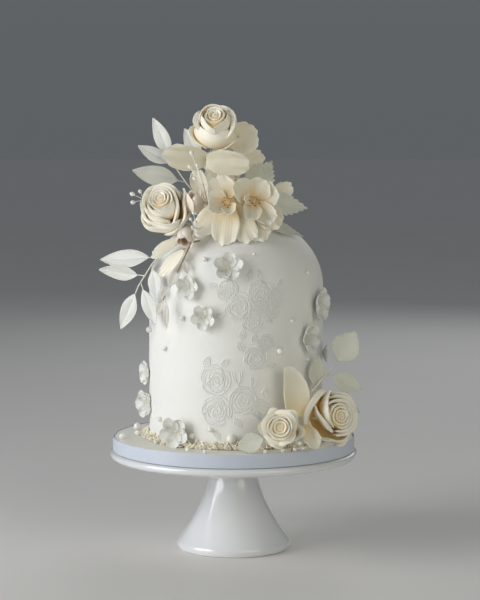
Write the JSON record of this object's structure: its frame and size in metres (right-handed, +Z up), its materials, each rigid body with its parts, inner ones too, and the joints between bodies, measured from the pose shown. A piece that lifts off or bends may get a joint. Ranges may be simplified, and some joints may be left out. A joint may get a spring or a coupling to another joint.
{
  "type": "wedding cake on pedestal stand",
  "caption": "Tall domed wedding cake in ivory icing with sugar roses, open flowers, leaves and pearls, on a ribboned board and a white pedestal cake stand.",
  "frame": {"origin": "middle of the flat underside of the stand's foot, which is the surface it rests on", "axes": "+Z up through the stand and cake, -Y out of the decorated front with the roses, +X to the right as seen from the front"},
  "size_m": [0.2702, 0.26, 0.4662],
  "materials": {
    "porcelain": "glossy white glaze",
    "icing": "smooth ivory sugar paste, satin",
    "ribbon": "pale blue-white satin ribbon",
    "ivory": "ivory flower paste, satin",
    "white": "white flower paste, satin",
    "rosy": "dusky rose flower paste, satin",
    "crumb": "beaded cream sugar crumbs"
  },
  "bodies": {
    "root": {"stand": "porcelain", "cake_board": "icing", "board_ribbon": "ribbon", "cake": "icing", "foot_border": "crumb", "posy_stem": "white", "rose_top": "ivory", "rose_left": "ivory", "rose_large": "ivory", "rose_small": "ivory", "rose_back": "ivory", "rose_back_right": "ivory", "open_flower_left": "ivory", "open_flower_right": "ivory", "open_flower_back": "ivory", "blossom_1": "white", "blossom_2": "white", "blossom_3": "white", "blossom_4": "white", "blossom_5": "white", "blossom_6": "white", "blossom_7": "white", "blossom_8": "white", "blossom_9": "white", "blossom_10": "white", "blossom_11": "white", "blossom_12": "white", "blossom_13": "white", "blossom_14": "white", "leaf_crown_right": "white", "leaf_right": "white", "leaf_shoulder": "white", "leaf_crown_left": "white", "leaf_foot_upright": "white", "leaf_foot_front": "white", "leaf_foot_back": "white", "petal_top_right": "ivory", "petal_top_left": "ivory", "petal_top_front": "ivory", "petal_top_back": "ivory", "petal_middle": "ivory", "petal_right": "ivory", "petal_left_inner": "ivory", "petal_left_outer": "ivory", "petal_side_left": "ivory", "petal_side_right": "ivory", "petal_upright": "ivory", "petal_fallen": "ivory", "bud_open": "rosy", "bud_rosy": "rosy", "blossom_wired": "white", "spray_top": "white", "spray_left": "white", "spray_buds": "white", "spray_back": "white", "spray_right": "white", "sprig_crown": "white", "sprig_far_left": "white", "sprig_middle": "white", "sprig_foot": "white"}
  },
  "joints": []
}
